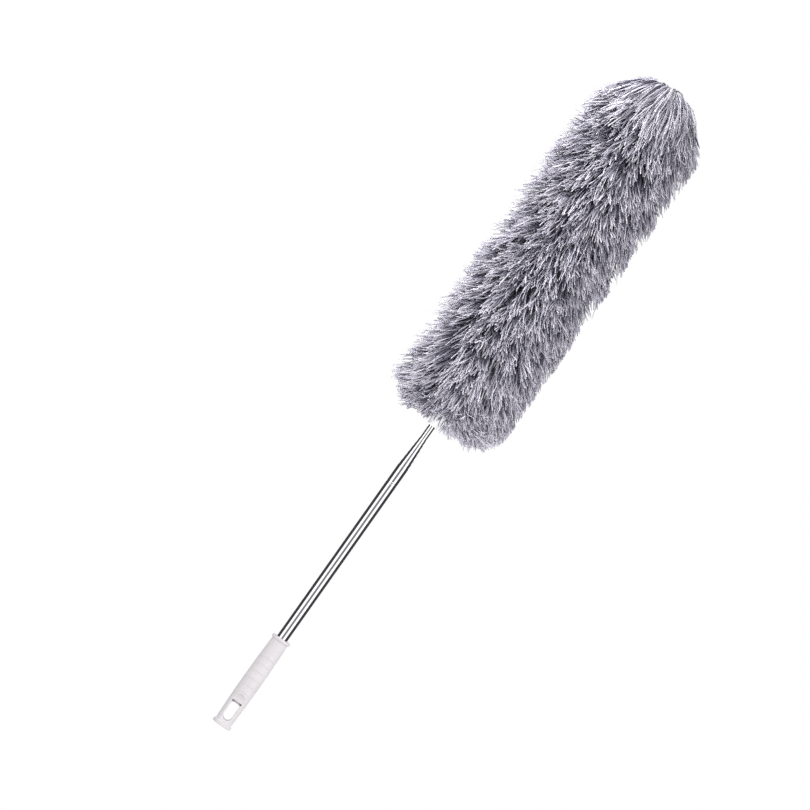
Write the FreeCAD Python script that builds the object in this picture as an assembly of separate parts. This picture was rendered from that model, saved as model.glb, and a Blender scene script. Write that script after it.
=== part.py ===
import FreeCAD, Part
import math
import os

# An extending duster. Lengths are in millimetres, and a distance along the pole is measured from the butt,
# the lower end of the handle. The finished duster lies on its pile, with the pole along +X and +Z up.

# Handle
handle_length = 103.0
grip_diameter = 19.3
waist_diameter = 17.4
flange_diameter = 20.0
butt_thickness = 3.0
collar_thickness = 2.5
flange_round = 0.6
flange_flare = 0.8
socket_clearance = 0.05
tail_thickness = 14.0
tail_margin = 1.3
tail_runout = 12.0
slot_start = 6.8
slot_length = 19.5
slot_width = 9.2
slot_corner = 2.5
slot_round = 0.6
edge_tolerance = 0.01
window_width = 10.6
rib_count = 6
rib_first = 38.0
rib_pitch = 8.2
rib_width = 13.0
rib_crown = 3.4
rib_hollow = 1.2
rib_height = 0.35
rib_root = 0.5

# Telescopic pole
tube_count = 8
tube_diameter = 11.4
tube_wall = 0.2
tube_gap = 0.125
tube_length = 280.3
lip_length = 1.2
stop_depth = 20.0
stop_width = 1.6
stop_ramp = 0.5
last_tube_shown = 16.0

# Plug and tail bushes
plug_head = 2.0
plug_spigot = 3.4
bush_collar = 1.98
bush_wall = 1.0
bush_slit = 0.8
stack_gap = 0.02
running_clearance = 0.03
press_clearance = 0.02

# Neck
neck_low_diameter = 12.2
neck_diameter = 13.4
neck_length = 17.0
neck_seat = 14.0
neck_chamfer = 0.8
stem_diameter = 6.8
stem_length = 18.0

# Bending core
wire_diameter = 3.0
sheath_diameter = 10.0
core_clearance = 0.1
cap_length = 8.0
cap_bore_depth = 4.0
backing_thickness = 2.0
cuff_length = 6.0
cuff_thickness = 1.5
fabric_clearance = 0.3

# Pile
pile_diameter = 110.0
pile_setback = 2.0
pile_length = 403.0
skirt_diameter = 76.0
skirt_length = 29.0
skirt_bulge = 3.0
skirt_hollow = 9.0
dome_length = 51.0
dome_bulge = 3.0
nose_diameter = 42.0
nose_length = 5.0
tip_cover = 7.7
lying_flat = 1.5

# Links of the bending head
link_count = 5
first_bend = 78.0
tip_link = 102.0
link_gap = 0.3

# Places that follow from the sizes above
slot_end = slot_start + slot_length
plug_seat = slot_end + plug_head
stack_pitch = plug_spigot + bush_collar + stack_gap
neck_start = plug_seat + (tube_count - 2) * stack_pitch + tube_length + last_tube_shown
shoulder = neck_start + neck_length
pile_start = neck_start + pile_setback
pile_tip = pile_start + pile_length
axis_height = pile_diameter / 2 - lying_flat
link_length = (pile_tip - tip_link - neck_start - first_bend) / (link_count - 2)
bends = [neck_start + first_bend + i * link_length for i in range(link_count - 1)]

# The core from the inside out
sheath_radius = sheath_diameter / 2
backing_bore = sheath_radius + fabric_clearance
backing_radius = backing_bore + backing_thickness
backing_start = shoulder + fabric_clearance
backing_end = pile_tip - tip_cover
cap_end = backing_end - backing_thickness - fabric_clearance
sheath_end = cap_end - cap_length
cuff_radius = backing_radius + core_clearance + cuff_thickness
cuff_end = backing_start + cuff_length


def point(distance, radius):
    return FreeCAD.Vector(distance, 0, radius)


# Straight edges from place to place, each place a distance and a radius.
def path(*places):
    return [
        Part.LineSegment(point(*start), point(*end)).toShape()
        for start, end in zip(places, places[1:])
    ]


def arc(start, middle, end):
    return Part.Arc(point(*start), point(*middle), point(*end)).toShape()


def curve(*places):
    spline = Part.BSplineCurve()
    spline.interpolate([point(*place) for place in places])
    return spline.toShape()


# A solid turned about the pole's axis from a closed outline.
def spun(edges):
    outline = Part.Face(Part.Wire(edges))
    return outline.revolve(FreeCAD.Vector(0, 0, 0), FreeCAD.Vector(1, 0, 0), 360)


def turned(*places):
    return spun(path(*places, places[0]))


def ring(start, end, bore, radius):
    return turned((start, bore), (start, radius), (end, radius), (end, bore))


# The middle of a bowed edge, which stands off its chord by the bulge.
def bowed(start, end, bulge):
    chord = (end[0] - start[0], end[1] - start[1])
    length = math.hypot(*chord)
    middle_distance = (start[0] + end[0]) / 2 - bulge * chord[1] / length
    middle_radius = (start[1] + end[1]) / 2 + bulge * chord[0] / length
    return (middle_distance, middle_radius)


# A box on the axis from one distance to another, reaching sideways and upwards or downwards.
def block(start, end, half_width, low, high):
    corner = FreeCAD.Vector(start, -half_width, low)
    return Part.makeBox(end - start, 2 * half_width, high - low, corner)


# The barrel of the grip, from flange to flange, standing out by the height given.
def barrel(height):
    start = butt_thickness + flange_flare
    end = handle_length - collar_thickness - flange_flare
    waist = waist_diameter / 2 + height
    return [(start, waist), ((start + end) / 2, grip_diameter / 2 + height), (end, waist)]


def handle_body():
    flange = flange_diameter / 2
    corner = flange_round * (1 - math.sqrt(0.5))
    collar = handle_length - collar_thickness
    grip = barrel(0)
    butt_edge = (0, flange - flange_round)
    butt_rim = (flange_round, flange)
    collar_rim = (handle_length - flange_round, flange)
    collar_edge = (handle_length, flange - flange_round)
    side = path(butt_rim, (butt_thickness, flange), grip[0])
    side += [arc(*grip)]
    side += path(grip[-1], (collar, flange), collar_rim)
    return spun(
        path((0, 0), butt_edge)
        + [arc(butt_edge, (corner, flange - corner), butt_rim)]
        + side
        + [arc(collar_rim, (handle_length - corner, flange - corner), collar_edge)]
        + path(collar_edge, (handle_length, 0), (0, 0))
    )


# Room above one flat of the tail, with a round run-out where the flat climbs back to the grip.
def tail_relief():
    half = tail_thickness / 2
    reach = flange_diameter
    flat_end = slot_end + plug_head + tail_margin
    flat = block(butt_thickness, flat_end, reach, half, half + tail_runout)
    runout = Part.makeCylinder(
        tail_runout,
        2 * reach,
        FreeCAD.Vector(flat_end, -reach, half + tail_runout),
        FreeCAD.Vector(0, 1, 0),
    )
    kept = block(butt_thickness, flat_end + tail_runout, reach, half, half + tail_runout)
    return flat.fuse(runout.common(kept))


# The hanging slot: round at the butt end, with rounded corners at the plug end.
def slot_cutter():
    half = slot_width / 2
    corner = slot_corner * (1 - math.sqrt(0.5))
    low = slot_start + half
    high = slot_end - slot_corner
    flat = half - slot_corner
    at = FreeCAD.Vector
    edges = [
        Part.Arc(at(low, -half, 0), at(slot_start, 0, 0), at(low, half, 0)),
        Part.LineSegment(at(low, half, 0), at(high, half, 0)),
        Part.Arc(at(high, half, 0), at(slot_end - corner, half - corner, 0), at(slot_end, flat, 0)),
        Part.LineSegment(at(slot_end, flat, 0), at(slot_end, -flat, 0)),
        Part.Arc(at(slot_end, -flat, 0), at(slot_end - corner, corner - half, 0), at(high, -half, 0)),
        Part.LineSegment(at(high, -half, 0), at(low, -half, 0)),
    ]
    outline = Part.Face(Part.Wire([edge.toShape() for edge in edges]))
    outline.translate(at(0, 0, -tail_thickness))
    return outline.extrude(at(0, 0, 2 * tail_thickness))


# The slot's rims on the two flats, which are rounded for the hook.
def slot_rims(body):
    slot = block(slot_start, slot_end, slot_width / 2, -tail_thickness / 2, tail_thickness / 2).BoundBox
    slot.enlarge(edge_tolerance)
    rims = []
    for edge in body.Edges:
        box = edge.BoundBox
        if slot.isInside(box) and box.ZLength < edge_tolerance:
            rims.append(edge)
    return rims


# Arched finger ribs, moulded on the top and the underside of the grip.
def finger_ribs():
    crest = barrel(rib_height)
    root = waist_diameter / 2 - rib_root
    half = rib_width / 2
    pads = []
    for i in range(rib_count):
        middle = rib_first + i * rib_pitch
        left = FreeCAD.Vector(middle, half, -grip_diameter)
        right = FreeCAD.Vector(middle, -half, -grip_diameter)
        crown = FreeCAD.Vector(middle + rib_crown, 0, -grip_diameter)
        hollow = FreeCAD.Vector(middle + rib_hollow, 0, -grip_diameter)
        arch = [Part.Arc(left, crown, right).toShape(), Part.Arc(right, hollow, left).toShape()]
        pads.append(Part.Face(Part.Wire(arch)).extrude(FreeCAD.Vector(0, 0, 2 * grip_diameter)))
    sleeve = spun([arc(*crest)] + path(crest[-1], (crest[-1][0], root), (crest[0][0], root), crest[0]))
    return sleeve.common(Part.makeCompound(pads))


def handle():
    relief = tail_relief()
    underside = relief.mirror(FreeCAD.Vector(0, 0, 0), FreeCAD.Vector(0, 0, 1))
    body = handle_body().cut([relief, underside, slot_cutter()])
    body = body.makeFillet(slot_round, slot_rims(body))
    bore = tube_diameter / 2 + socket_clearance
    socket = ring(slot_end, handle_length + collar_thickness, 0, bore)
    window = block(slot_end, plug_seat, window_width / 2, -tail_thickness, tail_thickness)
    return body.fuse(finger_ribs()).cut([socket, window]).removeSplitter()


def tube_radius(number):
    return tube_diameter / 2 - (number - 1) * (tube_wall + tube_gap)


def tube_foot(number):
    return plug_seat + (number - 1) * stack_pitch


# A tube with a rolled-in lip at its top and a rolled stop below it. Both run on the next tube, and the
# stop holds the next tube's bush back. The last tube is plain and ends in the neck.
def tube(number):
    radius = tube_radius(number)
    foot = tube_foot(number)
    if number == tube_count:
        return ring(foot, neck_start + neck_seat, radius - tube_wall, radius)
    top = foot + tube_length
    stop = top - stop_depth
    rolled = tube_radius(number + 1) + running_clearance + tube_wall
    outside = [
        (foot, radius),
        (stop - stop_width / 2 - stop_ramp, radius),
        (stop - stop_width / 2, rolled),
        (stop + stop_width / 2, rolled),
        (stop + stop_width / 2 + stop_ramp, radius),
        (top - lip_length, radius),
        (top, rolled),
    ]
    inside = [(distance, at - tube_wall) for distance, at in reversed(outside)]
    return turned(*outside, *inside)


# The plug that closes the pole's foot and stops the folded tubes. Its head lies in the handle's window.
def base_plug():
    spigot = tube_diameter / 2 - tube_wall - press_clearance
    head = tube_diameter / 2
    return turned(
        (slot_end, 0),
        (slot_end, head),
        (plug_seat, head),
        (plug_seat, spigot),
        (plug_seat + plug_spigot, spigot),
        (plug_seat + plug_spigot, 0),
    )


# A split bush: its collar runs in the bore of the tube outside, and its spigot holds the tube.
def tail_bush(number):
    foot = tube_foot(number)
    collar = tube_radius(number - 1) - tube_wall - running_clearance
    spigot = tube_radius(number) - tube_wall - press_clearance
    bore = spigot - bush_wall
    body = turned(
        (foot - bush_collar, bore),
        (foot - bush_collar, collar),
        (foot, collar),
        (foot, spigot),
        (foot + plug_spigot, spigot),
        (foot + plug_spigot, bore),
    )
    return body.cut(block(foot - bush_collar, foot + plug_spigot, bush_slit / 2, 0, tube_diameter))


# The ferrule on the last tube. Its stem carries the core's sheath and grips the wire.
def neck():
    low = neck_low_diameter / 2
    seat = neck_start + neck_seat
    wire_bore = wire_diameter / 2 + core_clearance
    tube_bore = tube_radius(tube_count) + press_clearance
    return turned(
        (neck_start, tube_bore),
        (neck_start, low - neck_chamfer),
        (neck_start + neck_chamfer, low),
        (shoulder, neck_diameter / 2),
        (shoulder, stem_diameter / 2),
        (shoulder + stem_length, stem_diameter / 2),
        (shoulder + stem_length, wire_bore),
        (seat, wire_bore),
        (seat, tube_bore),
    )


# The stretch of a solid that belongs to one link, with half a gap at each bend.
def link_part(whole, number):
    start = neck_start if number == 1 else bends[number - 2] + link_gap / 2
    end = pile_tip + pile_setback if number == link_count else bends[number - 1] - link_gap / 2
    return whole.common(block(start, end, pile_diameter, -pile_diameter, pile_diameter))


def core_wire():
    return ring(neck_start + neck_seat, sheath_end + cap_bore_depth, 0, wire_diameter / 2)


def core_sheath():
    wire_bore = wire_diameter / 2 + core_clearance
    stem_bore = stem_diameter / 2 + core_clearance
    return turned(
        (shoulder, stem_bore),
        (shoulder, sheath_radius),
        (sheath_end, sheath_radius),
        (sheath_end, wire_bore),
        (shoulder + stem_length, wire_bore),
        (shoulder + stem_length, stem_bore),
    )


def tip_cap():
    wire_bore = wire_diameter / 2 + core_clearance
    crown = sheath_radius * (1 - math.sqrt(0.5))
    depth = sheath_end + cap_bore_depth + core_clearance
    rim = (cap_end - sheath_radius, sheath_radius)
    return spun(
        path((sheath_end, wire_bore), (sheath_end, sheath_radius), rim)
        + [arc(rim, (cap_end - crown, sheath_radius - crown), (cap_end, 0))]
        + path((cap_end, 0), (depth, 0), (depth, wire_bore), (sheath_end, wire_bore))
    )


# The fabric sleeve over the core, closed at the tip.
def backing():
    closed = backing_end - backing_thickness
    return turned(
        (backing_start, backing_bore),
        (backing_start, backing_radius),
        (backing_end, backing_radius),
        (backing_end, 0),
        (closed, 0),
        (closed, backing_bore),
    )


def sleeve_cuff():
    return ring(backing_start, cuff_end, backing_radius + core_clearance, cuff_radius)


# The pile's outer shape, hollow for the sleeve and cuff, and flat where it lies. Its nose is part of a ball.
def pile():
    radius = pile_diameter / 2
    bore = backing_radius + fabric_clearance
    cuff_bore = cuff_radius + fabric_clearance
    skirt = (pile_start, skirt_diameter / 2)
    skirt_top = (pile_start + skirt_length, radius)
    dome = (pile_tip - dome_length, radius)
    nose = (pile_tip - nose_length, nose_diameter / 2)
    nose_radius = (nose[1] ** 2 + nose_length**2) / (2 * nose_length)
    turn = math.asin(nose[1] / nose_radius) / 2
    nose_middle = (pile_tip - nose_radius * (1 - math.cos(turn)), nose_radius * math.sin(turn))
    whole = spun(
        [curve(skirt, bowed(skirt, skirt_top, skirt_bulge), skirt_top)]
        + path(skirt_top, dome)
        + [curve(dome, bowed(dome, nose, dome_bulge), nose)]
        + [arc(nose, nose_middle, (pile_tip, 0))]
        + path(
            (pile_tip, 0),
            (backing_end + fabric_clearance, 0),
            (backing_end + fabric_clearance, bore),
            (cuff_end + fabric_clearance, bore),
            (cuff_end + fabric_clearance, cuff_bore),
            (pile_start + skirt_hollow, cuff_bore),
            skirt,
        )
    )
    return whole.cut(block(pile_start, pile_tip, pile_diameter, -pile_diameter, -axis_height))


def numbered(name, make, numbers):
    return {f"{name}_{number}": make(number) for number in numbers}


def linked(name, whole):
    return numbered(name, lambda number: link_part(whole, number), range(1, link_count + 1))


pieces = {"handle": handle(), "base_plug": base_plug(), "neck": neck()}
pieces |= numbered("tube", tube, range(1, tube_count + 1))
pieces |= numbered("tail_bush", tail_bush, range(2, tube_count + 1))
pieces |= {"sleeve_cuff": sleeve_cuff(), "tip_cap": tip_cap()}
pieces |= linked("core_wire", core_wire())
pieces |= linked("core_sheath", core_sheath())
pieces |= linked("backing", backing())
pieces |= linked("pile", pile())

# The middle of the duster's length comes to the origin, and its pile to the surface that it lies on.
os.makedirs("parts", exist_ok=True)
for name, shape in pieces.items():
    shape.translate(FreeCAD.Vector(-pile_tip / 2, 0, axis_height))
    shape.exportStep(f"parts/{name}.step")
    print(name, shape.isValid(), len(shape.Solids), round(shape.Volume, 2))
print("pole stroke of each tube", tube_length - stop_depth - stop_width / 2 - stop_ramp - stack_pitch)
print("overall length", pile_tip, "axis height", axis_height, "bends", bends)
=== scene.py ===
import bpy
import bmesh
import math
from mathutils import Matrix, Vector
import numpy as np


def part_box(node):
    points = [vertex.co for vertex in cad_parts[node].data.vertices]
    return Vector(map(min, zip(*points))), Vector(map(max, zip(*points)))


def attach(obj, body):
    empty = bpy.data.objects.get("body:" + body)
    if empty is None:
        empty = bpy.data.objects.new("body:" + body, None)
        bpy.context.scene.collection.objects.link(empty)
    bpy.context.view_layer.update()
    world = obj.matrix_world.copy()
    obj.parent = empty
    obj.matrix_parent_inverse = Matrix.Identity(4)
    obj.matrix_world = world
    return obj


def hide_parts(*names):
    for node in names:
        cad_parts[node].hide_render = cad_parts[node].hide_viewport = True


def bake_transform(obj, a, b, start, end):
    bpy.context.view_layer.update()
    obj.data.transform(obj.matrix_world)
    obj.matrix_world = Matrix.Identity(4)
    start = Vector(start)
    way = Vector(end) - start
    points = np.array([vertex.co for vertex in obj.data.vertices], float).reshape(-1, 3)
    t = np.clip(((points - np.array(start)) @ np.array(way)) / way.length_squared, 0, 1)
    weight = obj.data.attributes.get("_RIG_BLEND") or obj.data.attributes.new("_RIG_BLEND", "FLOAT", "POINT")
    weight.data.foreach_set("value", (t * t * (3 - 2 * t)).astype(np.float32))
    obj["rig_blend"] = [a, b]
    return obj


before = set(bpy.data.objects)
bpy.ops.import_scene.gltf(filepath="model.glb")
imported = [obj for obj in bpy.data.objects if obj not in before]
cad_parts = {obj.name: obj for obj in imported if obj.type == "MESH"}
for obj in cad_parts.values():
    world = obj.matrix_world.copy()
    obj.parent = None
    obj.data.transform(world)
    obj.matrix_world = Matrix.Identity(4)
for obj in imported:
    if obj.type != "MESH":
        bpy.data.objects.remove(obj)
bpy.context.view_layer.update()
scene = bpy.context.scene
mm = 0.001


# one node socket that takes part in sums, and one way to add any other node beside it
class Flow:
    def __init__(self, tree, socket=None):
        self.tree = tree
        self.socket = socket

    def node(self, kind, settings=None, sockets=None, output=0):
        made = self.tree.nodes.new(kind)
        for name, value in (settings or {}).items():
            if name == "stops":
                self.setStops(made.color_ramp, value)
            else:
                setattr(made, name, value)
        for key, value in (sockets or {}).items():
            target = self.pick(made.inputs, key)
            if isinstance(value, Flow):
                self.tree.links.new(value.socket, target)
            else:
                target.default_value = value
        return Flow(self.tree, self.pick(made.outputs, output) if made.outputs else None)

    def pick(self, sockets, key):
        if isinstance(key, int):
            return [socket for socket in sockets if socket.enabled][key]
        return [socket for socket in sockets if socket.enabled and socket.name == key][0]

    def setStops(self, ramp, stops):
        while len(ramp.elements) < len(stops):
            ramp.elements.new(1.0)
        for element, (place, colour) in zip(ramp.elements, stops):
            element.position = place
            element.color = (*colour, 1.0)

    # another output of the node that this socket belongs to
    def beside(self, output):
        return Flow(self.tree, self.socket.node.outputs[output])

    def maths(self, operation, *values):
        return self.node("ShaderNodeMath", {"operation": operation}, dict(enumerate(values)))

    def vector(self, operation, *values, output=0):
        settings = {"operation": operation}
        return self.node("ShaderNodeVectorMath", settings, dict(enumerate(values)), output)

    def scaled(self, factor):
        settings = {"operation": "SCALE"}
        return self.node("ShaderNodeVectorMath", settings, {"Vector": self, "Scale": factor})

    # a vector made of three values, and the three values of a vector
    def joined(self, x, y, z):
        return self.node("ShaderNodeCombineXYZ", None, {"X": x, "Y": y, "Z": z})

    def parts(self):
        split = self.node("ShaderNodeSeparateXYZ", None, {"Vector": self})
        return [split.beside(axis) for axis in "XYZ"]

    def __add__(self, other):
        return self.maths("ADD", self, other)

    def __radd__(self, other):
        return self.maths("ADD", other, self)

    def __sub__(self, other):
        return self.maths("SUBTRACT", self, other)

    def __rsub__(self, other):
        return self.maths("SUBTRACT", other, self)

    def __mul__(self, other):
        return self.maths("MULTIPLY", self, other)

    def __rmul__(self, other):
        return self.maths("MULTIPLY", other, self)

    def __truediv__(self, other):
        return self.maths("DIVIDE", self, other)

    def __rtruediv__(self, other):
        return self.maths("DIVIDE", other, self)


# what the finishes share: heights of their bumps, and how far marks are drawn out round or along a tube
surface = {
    "grainHeight": 0.2 * mm,
    "ringHeight": 0.05 * mm,
    "ringStretch": 0.04,
    "scratchStretch": 0.02,
    "plasticIndex": 1.47,      # index of refraction
}


# an empty material, and the flow that its nodes start from
def blankFinish(name):
    material = bpy.data.materials.new(name)
    material.use_nodes = True
    material.node_tree.nodes.clear()
    return material, Flow(material.node_tree)


def closeFinish(flow, sockets):
    shader = flow.node("ShaderNodeBsdfPrincipled", None, sockets)
    flow.node("ShaderNodeOutputMaterial", None, {"Surface": shader})


def onObject(flow):
    return flow.node("ShaderNodeTexCoord", None, None, "Object")


def stretched(flow, scale):
    return flow.node("ShaderNodeMapping", None, {"Vector": onObject(flow), "Scale": scale})


def noise(flow, place, scale, detail=2.0, output="Fac"):
    return flow.node("ShaderNodeTexNoise", None, {"Vector": place, "Scale": scale, "Detail": detail}, output)


def bump(flow, height, strength, distance):
    return flow.node("ShaderNodeBump", None, {"Height": height, "Strength": strength, "Distance": distance})


# a finish's shade and colour, blended where a pattern's value runs from start to end
def blended(flow, look, pattern, start, end):
    stops = [(start, look["shade"]), (end, look["colour"])]
    return flow.node("ShaderNodeValToRGB", {"stops": stops}, {"Fac": pattern})


# a finish's roughness, which a pattern of 0 to 1 spreads to either side
def roughened(look, pattern):
    return look["roughness"] + (pattern - 0.5) * look["roughnessSpread"]


# moulded plastic: a soft mottle, a fine spark-eroded grain and a few faint rubbed patches
def plasticFinish(name, look):
    material, flow = blankFinish(name)
    place = onObject(flow)
    mottle = noise(flow, place, look["mottleScale"], detail=3.0)
    rubbed = noise(flow, place, look["rubScale"], detail=4.0)
    grain = noise(flow, place, look["grainScale"])
    closeFinish(flow, {
        "Base Color": blended(flow, look, mottle, start=0.3, end=0.7),
        "Roughness": roughened(look, rubbed),
        "Normal": bump(flow, grain, look["grain"], surface["grainHeight"]),
        "IOR": surface["plasticIndex"],
    })
    return material


# drawn bright steel: polish lines run round the tube, and a few long hairline scratches run along it
def steelFinish(name, look):
    material, flow = blankFinish(name)
    roundTube = stretched(flow, (1.0, surface["ringStretch"], surface["ringStretch"]))
    alongTube = stretched(flow, (surface["scratchStretch"], 1.0, 1.0))
    rings = noise(flow, roundTube, look["ringScale"], detail=3.0)
    scratches = noise(flow, alongTube, look["scratchScale"])
    closeFinish(flow, {
        "Base Color": blended(flow, look, rings, start=0.35, end=0.6),
        "Metallic": 1.0,
        "Roughness": roughened(look, scratches),
        "Normal": bump(flow, rings, look["ringDepth"], surface["ringHeight"]),
    })
    return material


# elastic: dark, with knitted ribs and a close fuzz
def knitFinish(name, look):
    material, flow = blankFinish(name)
    place = onObject(flow)
    ribs = flow.node(
        "ShaderNodeTexWave",
        {"wave_type": "BANDS", "bands_direction": "X"},
        {"Vector": place, "Scale": look["rows"], "Distortion": look["waver"]},
        "Fac",
    )
    fuzz = noise(flow, place, look["fuzzScale"], detail=3.0)
    pattern = ribs * look["ribShare"] + fuzz * (1 - look["ribShare"])
    closeFinish(flow, {
        "Base Color": blended(flow, look, pattern, start=0.2, end=0.8),
        "Roughness": roughened(look, fuzz),
        "Normal": bump(flow, ribs + fuzz, look["depth"], surface["grainHeight"]),
        "Sheen Weight": look["sheen"],
    })
    return material


# pile fibre: the map's v runs from root to tip, darker towards the root as painted shade deep in the pile,
# and its u holds each strand's own tone
def fibreFinish(name, look):
    material, flow = blankFinish(name)
    tone, along = flow.node("ShaderNodeUVMap", {"uv_map": "OFBake"}).parts()[:2]
    # dark towards the root: painted shade within the pile
    length = flow.node("ShaderNodeValToRGB", {"stops": look["shadeAlongStops"]}, {"Fac": along})
    tint = flow.node("ShaderNodeValToRGB", {"stops": look["toneStops"]}, {"Fac": tone})
    colour = flow.node(
        "ShaderNodeMix",
        {"data_type": "RGBA", "blend_type": "MULTIPLY"},
        {"Factor": 1.0, "A": length, "B": tint},
        "Result",
    )
    closeFinish(flow, {
        "Base Color": colour,
        "Roughness": roughened(look, tone),
        "Sheen Weight": look["sheen"],
        "Sheen Roughness": look["sheenRoughness"],
        "Specular IOR Level": look["specular"],
    })
    return material


finishes = {
    "handle_plastic": plasticFinish("handlePlastic", {
        "colour": (0.88, 0.85, 0.872), "shade": (0.845, 0.815, 0.837),
        "mottleScale": 40.0, "rubScale": 90.0, "grainScale": 2600.0,
        "roughness": 0.42, "roughnessSpread": 0.2, "grain": 0.02,
    }),
    "neck_plastic": plasticFinish("neckPlastic", {
        "colour": (0.8, 0.795, 0.8), "shade": (0.77, 0.765, 0.775),
        "mottleScale": 60.0, "rubScale": 120.0, "grainScale": 2600.0,
        "roughness": 0.35, "roughnessSpread": 0.15, "grain": 0.04,
    }),
    "bush_plastic": plasticFinish("bushPlastic", {
        "colour": (0.74, 0.73, 0.68), "shade": (0.66, 0.65, 0.6),
        "mottleScale": 150.0, "rubScale": 300.0, "grainScale": 4000.0,
        "roughness": 0.45, "roughnessSpread": 0.2, "grain": 0.2,
    }),
    "core_plastic": plasticFinish("corePlastic", {
        "colour": (0.62, 0.62, 0.65), "shade": (0.55, 0.55, 0.58),
        "mottleScale": 80.0, "rubScale": 200.0, "grainScale": 3000.0,
        "roughness": 0.5, "roughnessSpread": 0.2, "grain": 0.3,
    }),
    "plug_rubber": plasticFinish("plugRubber", {
        "colour": (0.62, 0.60, 0.61), "shade": (0.55, 0.53, 0.54),
        "mottleScale": 200.0, "rubScale": 400.0, "grainScale": 3500.0,
        "roughness": 0.7, "roughnessSpread": 0.2, "grain": 0.5,
    }),
    "pole_steel": steelFinish("poleSteel", {
        "colour": (0.93, 0.93, 0.94), "shade": (0.86, 0.86, 0.88),
        "ringScale": 900.0, "scratchScale": 1500.0, "ringDepth": 0.04,
        "roughness": 0.085, "roughnessSpread": 0.06,
    }),
    "core_wire": steelFinish("coreWire", {
        "colour": (0.55, 0.55, 0.57), "shade": (0.42, 0.42, 0.45),
        "ringScale": 600.0, "scratchScale": 1200.0, "ringDepth": 0.2,
        "roughness": 0.35, "roughnessSpread": 0.2,
    }),
    "cuff_elastic": knitFinish("cuffElastic", {
        "colour": (0.30, 0.29, 0.33), "shade": (0.12, 0.115, 0.14),
        "rows": 400.0, "waver": 0.4, "ribShare": 0.6, "fuzzScale": 1500.0, "depth": 0.6,
        "roughness": 0.75, "roughnessSpread": 0.2, "sheen": 0.2,
    }),
    "pile_fibre": fibreFinish("pileFibre", {
        # strands darken from end to root: painted shade deep in the pile
        "shadeAlongStops": [
            (0.0, (0.04, 0.04, 0.056)), (0.5, (0.121, 0.118, 0.156)),
            (0.7, (0.418, 0.406, 0.468)), (0.88, (0.765, 0.75, 0.788)),
        ],
        "toneStops": [
            (0.0, (0.355, 0.347, 0.404)), (0.5, (0.63, 0.619, 0.682)), (0.9, (0.85, 0.841, 0.87)),
        ],
        "roughness": 0.5, "roughnessSpread": 0.2,
        "sheen": 0.25, "sheenRoughness": 0.4, "specular": 0.35,
    }),
}
print("finishes made:", len(finishes))

# the CAD nodes keep their shapes and take the finish of their slot
nodeFinish = {
    "handle": "handle_plastic", "base_plug": "plug_rubber",
    "tube": "pole_steel", "tail_bush": "bush_plastic",
    "neck": "neck_plastic", "tip_cap": "core_plastic",
    "core_wire": "core_wire", "core_sheath": "core_plastic",
}
for name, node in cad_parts.items():
    family = name.rstrip("0123456789").rstrip("_")
    if family in nodeFinish:
        node.data.materials.clear()
        node.data.materials.append(finishes[nodeFinish[family]])
print("CAD nodes dressed")

# where the pole and the pile lie, read from the frame
tubeLow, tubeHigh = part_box("tube_1")
axisHeight = (tubeLow.z + tubeHigh.z) / 2
pileBoxes = [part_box(f"pile_{number}") for number in range(1, 6)]
pileFrom = pileBoxes[0][0].x
pileTo = pileBoxes[-1][1].x
hinges = [(low[1].x + high[0].x) / 2 for low, high in zip(pileBoxes, pileBoxes[1:])]
links = ["head"] + [f"head_link_{number}" for number in range(2, 6)]


# a closed outline of (x, radius) places turned about the pole's axis; radius 0 makes a pole point
def turnedShell(outline, sides):
    shell = bmesh.new()
    rings = []
    for x, radius in outline:
        if radius == 0:
            rings.append([shell.verts.new((x, 0, axisHeight))] * sides)
            continue
        turns = [2 * math.pi * side / sides for side in range(sides)]
        rings.append([
            shell.verts.new((x, radius * math.cos(turn), axisHeight + radius * math.sin(turn)))
            for turn in turns
        ])
    for low, high in zip(rings, rings[1:] + rings[:1]):
        for side in range(sides):
            after = (side + 1) % sides
            corners = [low[side], high[side], high[after], low[after]]
            distinct = list(dict.fromkeys(corners))
            if len(distinct) > 2:
                shell.faces.new(distinct)
    bmesh.ops.recalc_face_normals(shell, faces=shell.faces)
    return shell


def madePiece(name, shell):
    mesh = bpy.data.meshes.new(name)
    shell.to_mesh(mesh)
    shell.free()
    piece = bpy.data.objects.new(name, mesh)
    scene.collection.objects.link(piece)
    return piece
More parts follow.
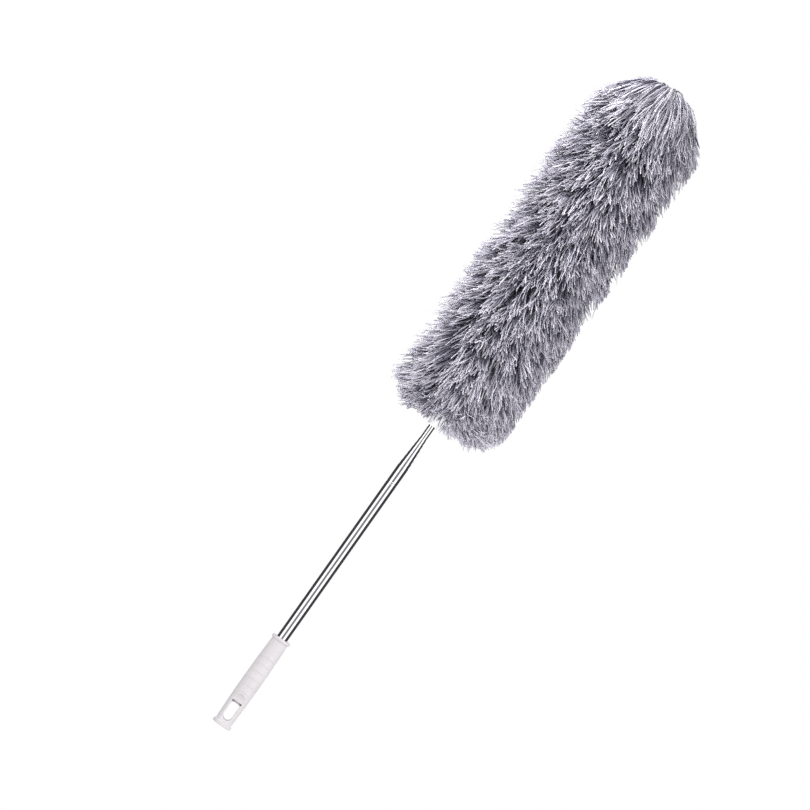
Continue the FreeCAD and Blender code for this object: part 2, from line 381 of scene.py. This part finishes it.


# the pile: a sewn sleeve that carries every strand, coloured dark as painted shade deep in the pile
pile = {
    "sleeveRadius": 28 * mm,
    "sleeveBore": 9.5 * mm,
    "sleeveWall": 0.02,        # least wall, as a share of the sleeve's radius
    "tailFrom": 22 * mm,       # sleeve's lower end, past the pile's lower end
    "tailLength": 18 * mm,
    "noseInset": 1.5 * mm,     # sleeve's top, short of the pile's tip
    "noseLength": 36 * mm,
    "noseShape": 0.34,
    "noseBore": 0.6,           # share of the bore at its closed end
    "ringStep": 6 * mm,
    "sides": 40,
    "sleeveShadePatch": (0.02, 0.002),  # corner of the colour map that the sleeve takes, dark as painted shade, and its side
    "patchSide": 0.01,
    # the surface that the ends reach: a skirt, a straight run and a dome
    "back": 35 * mm,           # how far a strand's end lies towards the handle
    "outer": 56.5 * mm,
    "domeLength": 62 * mm,
    "domeShape": 1.2,
    "skirtRadius": 45 * mm,
    "skirtLength": 20 * mm,
    "skirtShape": 0.8,
    "skirtInset": 3 * mm,
    "flare": 4 * mm,           # the lower end stands out by this much
    "flareLength": 70 * mm,
    "tailReach": 0.55,
    # strands and the tufts that they gather in
    "density": 470000.0,       # strands on a square metre of sleeve
    "noseDensity": 3.0,
    "girth": 0.84 * mm,
    "thinnest": 0.7,           # shares of the girth, and how much of it a strand loses at its end
    "thickest": 1.25,
    "taper": 0.35,
    "points": 5,
    "clump": 9 * mm,
    "clumpPull": 0.54,
    "clumpLean": 17 * mm,
    "jitter": 11.5 * mm,
    "kink": 16 * mm,
    "noseKink": 0.4,           # share of the kink that is left at the nose
    "shortest": 0.78,          # shares of the full reach that the tufts are cut to
    "longest": 1.04,
    "uneven": 0.16,            # spread of the shares within a tuft
    "wave": 50 * mm,
    "waveLean": 8 * mm,
    "lump": 48 * mm,           # how the outline swells and sinks, and over what length
    "lumpSize": 15 * mm,
    "lumpTall": 0.25,          # lumps are drawn out upwards, and deeper on the -Y side
    "lumpSide": 0.8,
    # what hangs at the lower end: values that the strands there take instead, over the hang's length
    "hangLength": 75 * mm,
    "tailPull": 0.75,
    "tailLean": 9 * mm,
    "tailJitter": 7 * mm,
    "tailKink": 0.45,          # share of the kink that is left
    "tailLight": 0.95,         # how much of a strand's length is spared the painted root shade and is as light as its end, here and at the nose
    "noseLight": 0.9,
    "hemRise": 1 * mm,         # ends below this line over the pile's lower end are drawn up to it,
    "hemRoom": 6 * mm,         # and reach so far past it at most; outside this radius the line rises
    "hemRadius": 40 * mm,
    "hemUneven": 6 * mm,
    "hemTufts": 12 * mm,
    # how the whole pile lies
    "droop": 4 * mm,           # ends hang this far towards -Y, and less at the lower end
    "tailDroop": 2 * mm,
    "tailFade": 35 * mm,
    "bowDroop": 0.3,           # share of the droop where a strand bows
    "noseBowDroop": 0.9,
    "comb": 5 * mm,            # ends on the +Y side lie this far forward, and on the -Y side back
    "combFade": 60 * mm,       # and less so near the two ends
    "parting": 11 * mm,        # strands over the neck part, which leaves it in view
    "partingWidth": 0.4,
    "archOut": 0.44,           # where a strand bows, as shares of its reach outwards and backwards
    "archBack": 0.56,
    "noseArchOut": 0.6,
    "noseArchBack": -0.12,
    "bowLoose": 0.3,           # share of an end's lean that its bow follows
    "underShare": 0.32,        # strands of the short undercoat, which fills between the tufts; the last value darkens them as painted shade
    "underCut": 0.7,
    "underDark": 0.4,
    "strayShare": 0.09,        # thin strands that stand out past their tuft, by this share of their reach
    "strayReach": 0.26,
    "strayThin": 0.3,
    "easeFrom": 60.5 * mm,     # loose ends past this radius are drawn in, and reach so far at most
    "easeRoom": 7.4 * mm,
    "floorGap": 1.2 * mm,
    # tones, as columns of the colour map: how far a strand's tuft, its length and chance change its own; a
    # shorter strand, which ends deeper in the pile, is darker as painted shade
    "toneColumns": 256.0,
    "toneTuft": 0.3,
    "toneUneven": 0.3,
    "toneChance": 0.4,
    "toneEdge": 0.02,
    "bendReach": 30 * mm,      # each side of a hinge, where the pile turns
    "seed": 7,
    "seedStep": 10,            # from one stretch to the next
}


def between(low, high, share):
    return low + (high - low) * share


def clamped(share):
    return min(1.0, max(0.0, share))


def sleeveAt(x):
    fromTail = clamped((x - pileFrom - pile["tailFrom"]) / pile["tailLength"])
    fromNose = clamped((pileTo - pile["noseInset"] - x) / pile["noseLength"])
    low = pile["sleeveBore"] / pile["sleeveRadius"]
    return pile["sleeveRadius"] * (low + (1 - low) * math.sqrt(fromTail)) * fromNose ** pile["noseShape"]


# the radius that strand ends reach at x: a skirt, a straight run and a dome
def outerAt(x):
    fromSkirt = clamped((x - pileFrom) / pile["skirtLength"])
    fromTip = clamped((pileTo - x) / pile["domeLength"])
    flare = pile["flare"] * max(0.0, 1 - (x - pileFrom) / pile["flareLength"])
    skirt = between(pile["skirtRadius"], pile["outer"] + flare, fromSkirt ** pile["skirtShape"])
    shape = pile["domeShape"]
    return skirt * (1 - (1 - fromTip) ** shape) ** (1 / shape)


def strandEnd(x):
    back = min(pile["back"], x - pileFrom - pile["skirtInset"])
    radius = outerAt(x - back)
    if x < hinges[0]:
        radius *= between(pile["tailReach"], 1, sleeveAt(x) / pile["sleeveRadius"])
    return back, radius


# 1 at the tip, falling to 0 where the nose begins
def noseShare(x):
    return max(0.0, 1 - (pileTo - pile["noseInset"] - x) / pile["noseLength"])


# 1 at the sleeve's lower end, falling to 0 at a length above it
def tailShare(x, length):
    return max(0.0, 1 - (x - pileFrom - pile["tailFrom"]) / length)


# 1 along the straight run, falling to 0 at the pile's two ends
def combShare(x):
    nearest = min(x - pileFrom - pile["tailFrom"], pileTo - pile["noseInset"] - x)
    return clamped(nearest / pile["combFade"])


# what a strand reads from the sleeve where it is rooted
def rootValues(x):
    nose = noseShare(x)
    tail = tailShare(x, pile["tailFade"])
    hang = tailShare(x, pile["hangLength"])
    back, radius = strandEnd(x)
    droop = between(pile["droop"], pile["tailDroop"], tail)
    kinkLeft = between(1.0, pile["noseKink"], nose) * between(1.0, pile["tailKink"], hang)
    return {
        "endBack": back,
        "endRadius": radius,
        "archOut": between(pile["archOut"], pile["noseArchOut"], nose),
        "archBack": between(pile["archBack"], pile["noseArchBack"], nose),
        "light": pile["noseLight"] * nose + pile["tailLight"] * hang,
        "kink": pile["kink"] * kinkLeft,
        "comb": pile["comb"] * combShare(x),
        "parting": pile["parting"] * tail,
        "lean": between(pile["clumpLean"], pile["tailLean"], hang),
        "pull": between(pile["clumpPull"], pile["tailPull"], hang),
        "jitter": between(pile["jitter"], pile["tailJitter"], hang),
        "droop": droop,
        "bowDroop": droop * between(pile["bowDroop"], pile["noseBowDroop"], nose),
    }


def span(start, end, step):
    count = max(2, round((end - start) / step))
    return [start + (end - start) * i / count for i in range(count + 1)]


def sleeveStretch(name, start, end, step):
    bore = pile["sleeveBore"]
    wall = pile["sleeveWall"]
    squareOn = 0.98            # faces turned this far along the axis close the end of a stretch
    outside = [(x, sleeveAt(x)) for x in span(start, end, step)]
    top = end
    if outside[-1][1] < bore:  # the nose closes on the axis
        outside[-1] = (outside[-1][0], 0)
        top = end - pile["noseInset"]
        closed = [(top, 0), (top, bore * pile["noseBore"])]
        inside = closed + [(x, bore) for x in span(top - bore, start, -step)]
    else:
        inside = [(x, min(bore, sleeveAt(x) * (1 - wall))) for x in span(end, start, -step)]
    shell = turnedShell(outside + inside, pile["sides"])
    planted = shell.faces.layers.float.new("planted")
    layers = {label: shell.verts.layers.float.new(label) for label in rootValues(start)}
    uv = shell.loops.layers.uv.new("OFBake")
    for vert in shell.verts:
        for label, value in rootValues(vert.co.x).items():
            vert[layers[label]] = value
    for face in shell.faces:
        middle = face.calc_center_median()
        rim = math.hypot(middle.y, middle.z - axisHeight)
        onOutside = rim > bore * (1 + wall) or middle.x > top
        square = abs(face.normal.x) > squareOn and middle.x < pileTo - pile["noseLength"]
        density = between(1.0, pile["noseDensity"], noseShare(middle.x))
        face[planted] = 0.0 if square or not onOutside else density
        # the sleeve takes a dark corner of the colour map: painted shade under the strands
        for loop, corner in zip(face.loops, ((0, 0), (1, 0), (1, 1), (0, 1))):
            loop[uv].uv = [low + pile["patchSide"] * part for low, part in zip(pile["sleeveShadePatch"], corner)]
    return madePiece(name, shell)


# an empty geometry tree with a named input for each value, of the value's own kind
def blankTree(name, values):
    kinds = {int: "Int", float: "Float", bpy.types.Material: "Material"}
    tree = bpy.data.node_groups.new(name, "GeometryNodeTree")
    tree.interface.new_socket("Geometry", in_out="OUTPUT", socket_type="NodeSocketGeometry")
    tree.interface.new_socket("Geometry", in_out="INPUT", socket_type="NodeSocketGeometry")
    for label, value in values.items():
        tree.interface.new_socket(label, in_out="INPUT", socket_type=f"NodeSocket{kinds[type(value)]}")
    entry = tree.nodes.new("NodeGroupInput")
    return Flow(tree), {socket.name: Flow(tree, socket) for socket in entry.outputs if socket.name}


# makes the geometry real, gives it its material and hands it out of the tree
def closeTree(flow, geometry, material):
    whole = flow.node("GeometryNodeRealizeInstances", None, {"Geometry": geometry})
    whole = flow.node("GeometryNodeSetMaterial", None, {"Geometry": whole, "Material": material})
    leave = flow.tree.nodes.new("NodeGroupOutput")
    flow.tree.links.new(whole.socket, leave.inputs[0])
    return flow.tree


def stored(flow, geometry, name, value, kind="FLOAT", domain="POINT"):
    settings = {"data_type": kind, "domain": domain}
    return flow.node(
        "GeometryNodeStoreNamedAttribute", settings, {"Geometry": geometry, "Name": name, "Value": value}
    )


def named(flow, name, kind="FLOAT"):
    return flow.node("GeometryNodeInputNamedAttribute", {"data_type": kind}, {"Name": name})


def drawn(flow, seed, low, high, kind="FLOAT"):
    return flow.node("FunctionNodeRandomValue", {"data_type": kind}, {"Min": low, "Max": high, "Seed": seed})


# how far a place that lies over a limit is drawn back, so that it keeps within some room past the limit
def drawnIn(flow, over, room):
    over = flow.maths("MAXIMUM", over, 0.0)
    return over - room * (1 - flow.maths("EXPONENT", 0.0 - over / room))


# strands planted on the sleeve; each is a bowed thread from its root to an end that leans with its tuft
def strandTree(values):
    flow, given = blankTree("pileStrands", values)
    seed = given["Seed"]
    half = (0.5, 0.5, 0.5)
    minusHalf = (-0.5, -0.5, -0.5)
    roots = flow.node(
        "GeometryNodeDistributePointsOnFaces",
        {"distribute_method": "RANDOM"},
        {"Mesh": given["Geometry"], "Density": given["Density"] * named(flow, "planted"), "Seed": seed},
    )
    root = flow.node("GeometryNodeInputPosition")
    x, y, z = root.parts()
    fromAxis = flow.joined(0.0, y, z - given["Axis Height"])
    outward = flow.vector("NORMALIZE", fromAxis)
    rootRadius = flow.vector("LENGTH", fromAxis, output="Value")
    along = flow.joined(x, 0.0, 0.0)

    # the tuft that a strand belongs to, as the cell of a Voronoi pattern on the outer surface
    onSurface = flow.vector("ADD", along, outward.scaled(given["Outer"]))
    tuft = flow.node(
        "ShaderNodeTexVoronoi", None, {"Vector": onSurface, "Scale": 1 / given["Clump"]}, "Color"
    )
    centre = tuft.beside("Position")
    tuftTone, tuftCut, tuftHem = tuft.parts()
    wave = noise(flow, onSurface, 1 / given["Wave"], 1.0, "Color")
    strayed = drawn(flow, seed + 1, minusHalf, half, "FLOAT_VECTOR")
    pull = flow.vector("SUBTRACT", centre, onSurface).scaled(named(flow, "pull"))
    lean = flow.vector("SUBTRACT", tuft, half).scaled(named(flow, "lean"))
    swell = flow.vector("SUBTRACT", wave, half).scaled(given["Wave Lean"])
    loose = flow.vector("ADD", flow.vector("ADD", pull, lean), swell)
    loose = flow.vector("ADD", loose, strayed.scaled(named(flow, "jitter")))

    # the whole pile hangs to one side and is combed, and it parts over the neck
    side = y / flow.maths("MAXIMUM", rootRadius, mm)
    parted = flow.maths("MAXIMUM", 1 - flow.maths("ABSOLUTE", side) / given["Parting Width"], 0.0)
    forward = named(flow, "comb") * side + named(flow, "parting") * parted
    hang = flow.joined(forward, 0.0 - named(flow, "droop"), 0.0)
    bowHang = flow.joined(0.0, 0.0 - named(flow, "bowDroop"), 0.0)

    # how far the strand reaches, by its tuft's cut, the undercoat, the strays and the lumps
    uneven = drawn(flow, seed + 2, -0.5, 0.5)
    under = flow.maths("LESS_THAN", drawn(flow, seed + 6, 0.0, 1.0), given["Under Share"])
    stray = flow.maths("LESS_THAN", drawn(flow, seed + 7, 0.0, 1.0), given["Stray Share"]) * (1 - under)
    share = given["Shortest"] + (given["Longest"] - given["Shortest"]) * tuftCut + given["Uneven"] * uneven
    share = share * (1 - under * (1 - given["Under Cut"])) * (1 + stray * given["Stray Reach"])
    upright = flow.vector("MULTIPLY", onSurface, flow.joined(1.0, 1.0, given["Lump Tall"]))
    lump = (noise(flow, upright, 1 / given["Lump Size"], 1.0) - 0.5) * given["Lump"]
    lump = lump * (1 - given["Lump Side"] * side)
    rise = (named(flow, "endRadius") + lump - rootRadius) * share
    backwards = flow.joined(0.0 - named(flow, "endBack") * share, 0.0, 0.0)

    # the strand's end, drawn in at the outline and at the hem
    reach = flow.vector("ADD", outward.scaled(rise), backwards)
    end = flow.vector("ADD", flow.vector("ADD", root, reach), flow.vector("ADD", loose, hang))
    endX, endY, endZ = end.parts()
    endZ = endZ - given["Axis Height"]
    endRadius = flow.maths("SQRT", endY * endY + endZ * endZ)
    within = (endRadius - drawnIn(flow, endRadius - given["Ease From"], given["Ease Room"])) / endRadius
    hem = given["Hem From"] + flow.maths("MAXIMUM", endRadius - given["Hem Radius"], 0.0)
    hem = hem + given["Hem Uneven"] * uneven + given["Hem Tufts"] * (tuftHem - 0.5)
    endX = endX + drawnIn(flow, hem - endX, given["Hem Room"])
    end = flow.joined(endX, endY * within, endZ * within + given["Axis Height"])

    # the point that bows the strand, its tone and its girth
    lift = flow.vector(
        "ADD", outward.scaled(rise * named(flow, "archOut")), backwards.scaled(named(flow, "archBack"))
    )
    kinked = drawn(flow, seed + 5, minusHalf, half, "FLOAT_VECTOR")
    bowLean = flow.vector("ADD", loose.scaled(given["Bow Loose"]), bowHang)
    bow = flow.vector("ADD", flow.vector("ADD", root, lift), bowLean)
    bow = flow.vector("ADD", bow, kinked.scaled(named(flow, "kink")))
    chance = drawn(flow, seed + 3, 0.0 - given["Tone Chance"], given["Tone Chance"])
    # tuft and chance vary the tone at random; shorter strands are darker as painted shade
    tone = 0.5 + (tuftTone - 0.5) * given["Tone Tuft"] + uneven * given["Tone Uneven"] + chance
    tone = flow.node(
        "ShaderNodeClamp", None, {"Value": tone, "Min": given["Tone Edge"], "Max": 1 - given["Tone Edge"]}
    )
    girth = given["Girth"] * drawn(flow, seed + 4, given["Thinnest"], given["Thickest"])
    girth = girth * (1 - given["Stray Thin"] * stray)
    for name, value in (("root", root), ("end", end), ("bow", bow)):
        roots = stored(flow, roots, name, value, "FLOAT_VECTOR")
    for name, value in (("tone", tone), ("under", under), ("girth", girth)):
        roots = stored(flow, roots, name, value)

    # a thread on every root, bent from its root by its bow to its end and kept clear of the floor
    thread = flow.node("GeometryNodeCurvePrimitiveLine")
    thread = flow.node("GeometryNodeResampleCurve", None, {"Curve": thread, "Count": given["Points"]})
    threads = flow.node("GeometryNodeInstanceOnPoints", None, {"Points": roots, "Instance": thread})
    threads = flow.node("GeometryNodeRealizeInstances", None, {"Geometry": threads})
    threads = stored(flow, threads, "along", flow.node("GeometryNodeSplineParameter", None, None, "Factor"))
    t = named(flow, "along")
    rest = 1 - t
    fromRoot = named(flow, "root", "FLOAT_VECTOR").scaled(rest * rest)
    fromBow = named(flow, "bow", "FLOAT_VECTOR").scaled(2 * t * rest)
    fromEnd = named(flow, "end", "FLOAT_VECTOR").scaled(t * t)
    bowed = flow.vector("ADD", flow.vector("ADD", fromRoot, fromBow), fromEnd)
    farOff = -9.0              # lower than any strand lies
    clear = flow.vector("MAXIMUM", bowed, flow.joined(farOff, farOff, given["Floor Gap"]))
    threads = flow.node("GeometryNodeSetPosition", None, {"Geometry": threads, "Position": clear})

    # a three-sided strand round each thread, with its place on the colour map
    section = flow.node("GeometryNodeCurvePrimitiveCircle", None, {"Resolution": 3, "Radius": 1.0})
    section = stored(
        flow, section, "around", flow.node("GeometryNodeSplineParameter", None, None, "Factor")
    )
    thickness = named(flow, "girth") * (1 - given["Taper"] * t * t * t)
    strands = flow.node(
        "GeometryNodeCurveToMesh",
        None,
        {"Curve": threads, "Profile Curve": section, "Scale": thickness, "Fill Caps": True},
    )
    columnEdge, rowEdge = 0.15, 0.01   # left free at either side of a strand's place
    column = flow.maths("FLOOR", named(flow, "tone") * given["Tone Columns"])
    across = (column + columnEdge + (1 - 2 * columnEdge) * named(flow, "around")) / given["Tone Columns"]
    # ends light, roots darker and the undercoat darker still: painted shade within the pile, which the light
    # value lifts where strands lie open
    lit = (t + (1 - t) * named(flow, "light")) * (1 - given["Under Dark"] * named(flow, "under"))
    place = flow.joined(across, rowEdge + (1 - 2 * rowEdge) * lit, 0.0)
    strands = stored(flow, strands, "OFBake", place, "FLOAT2", "CORNER")
    strands = flow.node("GeometryNodeSetShadeSmooth", None, {"Geometry": strands})
    whole = flow.tree.nodes.new("GeometryNodeJoinGeometry")
    for part in (given["Geometry"], strands):
        flow.tree.links.new(part.socket, whole.inputs[0])
    return closeTree(flow, Flow(flow.tree, whole.outputs[0]), given["Material"])


# attributes that only the making needs
workNotes = [
    "planted", *rootValues(pileFrom),
    "root", "end", "bow", "tone", "under", "girth", "along", "around",
]


# runs a geometry tree on a piece and keeps the result as its plain mesh
def grown(piece, tree, values):
    modifier = piece.modifiers.new("grow", "NODES")
    modifier.node_group = tree
    for item in tree.interface.items_tree:
        if item.in_out == "INPUT" and item.name in values:
            modifier[item.identifier] = values[item.name]
    bpy.context.view_layer.update()
    evaluated = piece.evaluated_get(bpy.context.evaluated_depsgraph_get())
    mesh = bpy.data.meshes.new_from_object(evaluated)
    piece.modifiers.remove(modifier)
    spare = piece.data
    piece.data = mesh
    bpy.data.meshes.remove(spare)
    for attribute in list(mesh.attributes):
        if attribute.name in workNotes:
            mesh.attributes.remove(attribute)
    return piece


# the pile's values that the tree takes as inputs, each under its own name in words
strandNames = [
    "seed", "density", "girth", "thinnest", "thickest", "taper", "points", "clump", "outer",
    "shortest", "longest", "uneven", "wave", "waveLean", "lump", "lumpSize", "lumpTall", "lumpSide",
    "partingWidth", "bowLoose", "underShare", "underCut", "underDark",
    "strayShare", "strayReach", "strayThin", "easeFrom", "easeRoom",
    "hemRoom", "hemRadius", "hemUneven", "hemTufts", "floorGap",
    "toneColumns", "toneTuft", "toneUneven", "toneChance", "toneEdge",
]


def inWords(name):
    return "".join(f" {letter}" if letter.isupper() else letter for letter in name).title()


strandValues = {
    **{inWords(name): pile[name] for name in strandNames},
    "Axis Height": axisHeight,
    "Hem From": pileFrom + pile["hemRise"],
    "Material": finishes["pile_fibre"],
}
tree = strandTree(strandValues)
reach = (hinges[1] - hinges[0]) / 2
tailFrom = pileFrom + pile["tailFrom"]
noseTo = pileTo - pile["noseInset"]
stretches = [("pileTail", tailFrom, hinges[0] - reach, 1, None)]
for bend, hinge in enumerate(hinges, start=1):
    stretches.append((f"pileBend{bend}Low", hinge - reach, hinge, bend, bend))
    stretches.append((f"pileBend{bend}High", hinge, hinge + reach, bend + 1, bend))
stretches.append(("pileTip", hinges[-1] + reach, noseTo, 5, None))
pilePieces = []
for number, (name, start, end, link, bend) in enumerate(stretches):
    step = pile["ringStep"] if bend else pile["ringStep"] / 2
    piece = sleeveStretch(name, start, end, step)
    grown(piece, tree, {**strandValues, "Seed": pile["seed"] + pile["seedStep"] * number})
    if bend:
        hinge = hinges[bend - 1]
        turnFrom = (hinge - pile["bendReach"], 0, axisHeight)
        turnTo = (hinge + pile["bendReach"], 0, axisHeight)
        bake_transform(piece, links[bend - 1], links[bend], start=turnFrom, end=turnTo)
    else:
        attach(piece, links[link - 1])
    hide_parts(f"pile_{link}", f"backing_{link}")
    pilePieces.append(piece)
    print("grew", name, "with", len(piece.data.polygons), "faces")

# the elastic hem: a gathered ring of ribs round the sleeve's lower end
cuff = {
    "ribs": 44.0,
    "ribDepth": 0.35 * mm,
    "sidesPerRib": 6,
    "roll": 0.5 * mm,          # width of the rounded edges
    "wall": 1.5 * mm,
}
cuffLow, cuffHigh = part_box("sleeve_cuff")
cuffRadius = (cuffHigh.y - cuffLow.y) / 2


def cuffTree(values):
    flow, given = blankTree("cuffRibs", values)
    y, z = flow.node("GeometryNodeInputPosition").parts()[1:]
    z = z - given["Axis Height"]
    turn = flow.maths("ARCTAN2", z, y)
    swell = flow.maths("COSINE", turn * given["Ribs"]) * given["Rib Depth"] - given["Rib Depth"]
    outward = flow.vector("NORMALIZE", flow.joined(0.0, y, z))
    ribbed = flow.node(
        "GeometryNodeSetPosition", None, {"Geometry": given["Geometry"], "Offset": outward.scaled(swell)}
    )
    ribbed = flow.node("GeometryNodeSetShadeSmooth", None, {"Geometry": ribbed})
    return closeTree(flow, ribbed, given["Material"])


# half the hem's outline, from its bore to its outside, as steps inwards from its end and radii
def cuffEdge():
    roll, bore = cuff["roll"], cuffRadius - cuff["wall"]
    return [(roll, bore), (0, bore + roll), (0, cuffRadius - roll), (roll, cuffRadius)]


lowerEdge = [(cuffLow.x + inset, radius) for inset, radius in cuffEdge()]
upperEdge = [(cuffHigh.x - inset, radius) for inset, radius in reversed(cuffEdge())]
hem = madePiece("sleeveHem", turnedShell(lowerEdge + upperEdge, int(cuff["ribs"]) * cuff["sidesPerRib"]))
cuffValues = {
    "Ribs": cuff["ribs"],
    "Rib Depth": cuff["ribDepth"],
    "Axis Height": axisHeight,
    "Material": finishes["cuff_elastic"],
}
grown(hem, cuffTree(cuffValues), cuffValues)
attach(hem, "head")
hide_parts("sleeve_cuff")
print("hem made")

# a white ground, a soft sky that is brighter on one side, and dark surroundings that only reflections show
studio = {
    "floorSize": 12.0, "floorGlow": 0.8, "white": (1.0, 1.0, 1.0, 1.0),
    "skyStrength": 0.69, "skyColour": (1.0, 0.995, 1.0, 1.0),
    "skyLean": 0.95, "skyToward": (0.75, -0.3, 0.58),   # share that the bright side gains, and where it is
    "mirrorStops": [
        (0.0, (0.05, 0.05, 0.053)), (0.7, (0.05, 0.05, 0.053)), (0.755, (1.5, 1.5, 1.5)),
        (0.955, (1.4, 1.4, 1.42)), (0.975, (0.24, 0.24, 0.25)), (1.0, (0.2, 0.2, 0.21)),
    ],
    "lights": [                # name, place, target, width, power and spread of each soft panel
        ("keyLight", (0.7, 0.8, 1.5), (0.3, 0.0, 0.05), 1.2, 1.95, 64.0),
        ("sideLight", (0.65, 0.75, 0.35), (0.3, 0.0, 0.05), 0.7, 3.1, 76.0),
        ("fillLight", (0.3, -0.9, 0.4), (0.2, 0.0, 0.05), 0.8, 1.3, 90.0),
        ("hemLight", (-0.55, -0.1, 0.45), (0.02, 0.0, 0.05), 0.5, 1.7, 90.0),
        ("farLight", (2.1, -0.4, 1.4), (1.9, 0.0, 0.05), 1.2, 9.0, 80.0),
    ],
}


# one shader for what the camera sees, and another for what lights the pieces
def seenAs(flow, lighting, seen):
    fromCamera = flow.node("ShaderNodeLightPath", None, None, "Is Camera Ray")
    return flow.node("ShaderNodeMixShader", None, {0: fromCamera, 1: lighting, 2: seen})


def layGround(look):
    half = look["floorSize"] / 2
    corners = [(-half, -half, 0), (half, -half, 0), (half, half, 0), (-half, half, 0)]
    mesh = bpy.data.meshes.new("ground")
    mesh.from_pydata(corners, [], [(0, 1, 2, 3)])
    ground = bpy.data.objects.new("ground", mesh)
    scene.collection.objects.link(ground)
    material, flow = blankFinish("groundPaper")
    glow = flow.node("ShaderNodeEmission", None, {"Color": look["white"], "Strength": look["floorGlow"]})
    white = flow.node("ShaderNodeEmission", None, {"Color": look["white"], "Strength": 1.0})
    flow.node("ShaderNodeOutputMaterial", None, {"Surface": seenAs(flow, glow, white)})
    mesh.materials.append(material)
    ground.visible_glossy = False


def raiseSky(look):
    world = bpy.data.worlds.new("studioSky")
    world.use_nodes = True
    world.node_tree.nodes.clear()
    scene.world = world
    flow = Flow(world.node_tree)
    toward = flow.node("ShaderNodeTexCoord", None, None, "Generated")
    height = toward.parts()[2] * 0.5 + 0.5   # 0 straight down, 1 straight up
    mirror = flow.node("ShaderNodeValToRGB", {"stops": look["mirrorStops"]}, {"Fac": height})
    lean = flow.vector("DOT_PRODUCT", toward, look["skyToward"], output="Value") * look["skyLean"]
    plain = flow.node("ShaderNodeBackground", None, {
        "Color": look["skyColour"], "Strength": (1 + lean) * look["skyStrength"],
    })
    mirrored = flow.node("ShaderNodeBackground", None, {"Color": mirror, "Strength": 1.0})
    glossy = flow.node("ShaderNodeLightPath", None, None, "Is Glossy Ray")
    lighting = flow.node("ShaderNodeMixShader", None, {0: glossy, 1: plain, 2: mirrored})
    white = flow.node("ShaderNodeBackground", None, {"Color": look["white"], "Strength": 1.0})
    flow.node("ShaderNodeOutputWorld", None, {"Surface": seenAs(flow, lighting, white)})


# panels that light the given pieces alone; the sky is enough for the others and leaves no grain on them
def hangLights(look, pieces):
    litPieces = bpy.data.collections.new("litPieces")
    for piece in pieces:
        litPieces.objects.link(piece)
    for name, place, target, width, power, spread in look["lights"]:
        lamp = bpy.data.lights.new(name, "AREA")
        lamp.size = width
        lamp.energy = power
        lamp.spread = math.radians(spread)
        light = bpy.data.objects.new(name, lamp)
        light.location = place
        toward = Vector(target) - Vector(place)
        light.rotation_euler = toward.to_track_quat("-Z", "Y").to_euler()
        light.visible_glossy = False
        light.light_linking.receiver_collection = litPieces
        scene.collection.objects.link(light)


layGround(studio)
raiseSky(studio)
hangLights(studio, [*pilePieces, hem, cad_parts["neck"]])
scene.view_settings.view_transform = "Standard"
print("studio lit")

# the camera looks straight down, turned so that the pole runs up to the right as in the photograph
shot = {
    "tilt": math.radians(54.78),   # the pole's slope in the picture
    "width": 0.78975,              # metres across the picture at the pole's axis
    "lens": 200.0,
    "sensor": 36.0,
    "farthest": 50.0,              # metres that the camera sees
    "beyondNeck": 1.36 * mm,       # picture's middle, along the pole from the neck's lower end
    "beside": 33.4 * mm,
}


def placeCamera(look):
    neckLow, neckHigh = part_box("neck")
    distance = look["width"] * look["lens"] / look["sensor"]
    right = Vector((math.cos(look["tilt"]), -math.sin(look["tilt"]), 0))
    up = Vector((math.sin(look["tilt"]), math.cos(look["tilt"]), 0))
    camera = bpy.data.cameras.new("camera")
    camera.lens = look["lens"]
    camera.sensor_width = look["sensor"]
    camera.clip_end = look["farthest"]
    holder = bpy.data.objects.new("camera", camera)
    middle = Vector((neckLow.x + look["beyondNeck"], look["beside"], axisHeight + distance))
    turn = Matrix((right, up, Vector((0, 0, 1)))).transposed()
    holder.matrix_world = Matrix.Translation(middle) @ turn.to_4x4()
    scene.collection.objects.link(holder)
    scene.camera = holder


placeCamera(shot)
print("camera placed")
